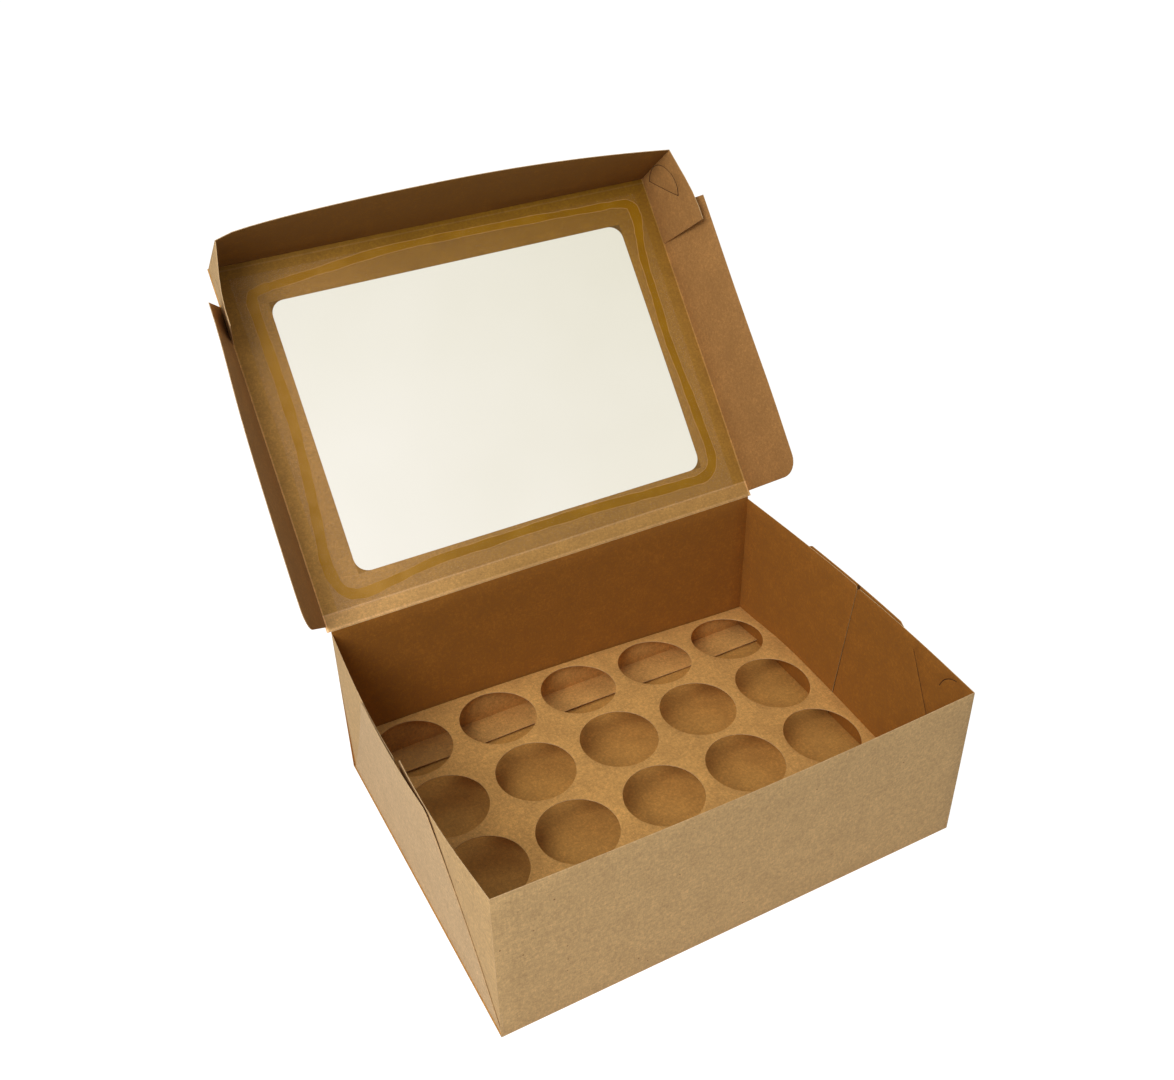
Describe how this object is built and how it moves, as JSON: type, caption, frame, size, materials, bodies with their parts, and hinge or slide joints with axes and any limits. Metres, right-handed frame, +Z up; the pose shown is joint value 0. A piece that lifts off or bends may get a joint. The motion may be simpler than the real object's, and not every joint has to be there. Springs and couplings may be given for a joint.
{
  "type": "windowed cake carton",
  "caption": "Folded kraft paperboard cake carton with a hinged window lid, locked corners and a lift-out punched insert that holds small cakes apart.",
  "frame": {"origin": "centre of the tray's floor, on the surface it stands on", "axes": "+Z up, +Y towards the back wall and the lid's hinge, +X to the right seen from the front"},
  "size_m": [0.3662, 0.4157, 0.3505],
  "materials": {
    "kraft_board": "uncoated brown kraft paperboard",
    "insert_board": "uncoated brown kraft paperboard",
    "window_film": "clear glossy film",
    "dried_glue": "dried amber adhesive"
  },
  "bodies": {
    "tray": {"floor_panel": "kraft_board", "back_wall": "kraft_board", "rear_left_corner_flap": "kraft_board", "rear_right_corner_flap": "kraft_board"},
    "front": {"front_wall": "kraft_board", "front_left_corner_flap": "kraft_board", "front_right_corner_flap": "kraft_board"},
    "left_side": {"left_side_panel": "kraft_board"},
    "right_side": {"right_side_panel": "kraft_board"},
    "insert": {"insert_deck": "insert_board", "insert_front_leg": "insert_board", "insert_rear_leg": "insert_board", "insert_front_foot": "insert_board", "insert_rear_foot": "insert_board"},
    "lid": {"lid_panel": "kraft_board", "window_film": "window_film", "window_glue": "dried_glue"},
    "lid_front": {"lid_front_flap": "kraft_board"},
    "lid_left": {"lid_left_flap": "kraft_board"},
    "lid_right": {"lid_right_flap": "kraft_board"},
    "left_tab": {"lid_left_tab": "kraft_board"},
    "right_tab": {"lid_right_tab": "kraft_board"},
    "left_tongue": {"left_lock_tongue": "kraft_board"},
    "right_tongue": {"right_lock_tongue": "kraft_board"}
  },
  "joints": [
    {"name": "lid_hinge", "type": "hinge", "parent": "tray", "child": "lid", "pos_m": [0, 0.125, 0.1232], "axis": [1, 0, 0], "range_deg": [-45, 130.5]},
    {"name": "lid_front_flap_fold", "type": "hinge", "parent": "lid", "child": "lid_front", "pos_m": [0, 0.29028, 0.31672], "axis": [1, 0, 0], "range_deg": [-90, 0]},
    {"name": "lid_right_flap_fold", "type": "hinge", "parent": "lid", "child": "lid_right", "pos_m": [0.167, 0.20764, 0.21996], "axis": [0, -0.6494, -0.7604], "range_deg": [-72, 8]},
    {"name": "lid_left_flap_fold", "type": "hinge", "parent": "lid", "child": "lid_left", "pos_m": [-0.167, 0.20764, 0.21996], "axis": [0, 0.6494, 0.7604], "range_deg": [-72, 8]},
    {"name": "right_tab_fold", "type": "hinge", "parent": "lid_front", "child": "right_tab", "pos_m": [0.1658, 0.27019, 0.33323], "axis": [0, -0.7604, 0.6494], "range_deg": [-10, 0]},
    {"name": "left_tab_fold", "type": "hinge", "parent": "lid_front", "child": "left_tab", "pos_m": [-0.1658, 0.27019, 0.33323], "axis": [0, 0.7604, -0.6494], "range_deg": [-10, 0]},
    {"name": "right_lock_push", "type": "hinge", "parent": "right_tab", "child": "right_tongue", "pos_m": [0.1658, 0.26111, 0.31787], "axis": [0, 0.9997, 0.0262], "range_deg": [-40, 0]},
    {"name": "left_lock_push", "type": "hinge", "parent": "left_tab", "child": "left_tongue", "pos_m": [-0.1658, 0.26111, 0.31787], "axis": [0, -0.9997, -0.0262], "range_deg": [-40, 0]},
    {"name": "front_wall_fold", "type": "hinge", "parent": "tray", "child": "front", "pos_m": [0, -0.125, 0], "axis": [-1, 0, 0], "range_deg": [-90, 0]},
    {"name": "right_side_fold", "type": "hinge", "parent": "tray", "child": "right_side", "pos_m": [0.165, 0, 0], "axis": [0, -1, 0], "range_deg": [-90, 0]},
    {"name": "left_side_fold", "type": "hinge", "parent": "tray", "child": "left_side", "pos_m": [-0.165, 0, 0], "axis": [0, 1, 0], "range_deg": [-90, 0]},
    {"name": "insert_lift", "type": "slide", "parent": "tray", "child": "insert", "axis": [0, 0, -1], "range_m": [-0.15, 0]}
  ]
}
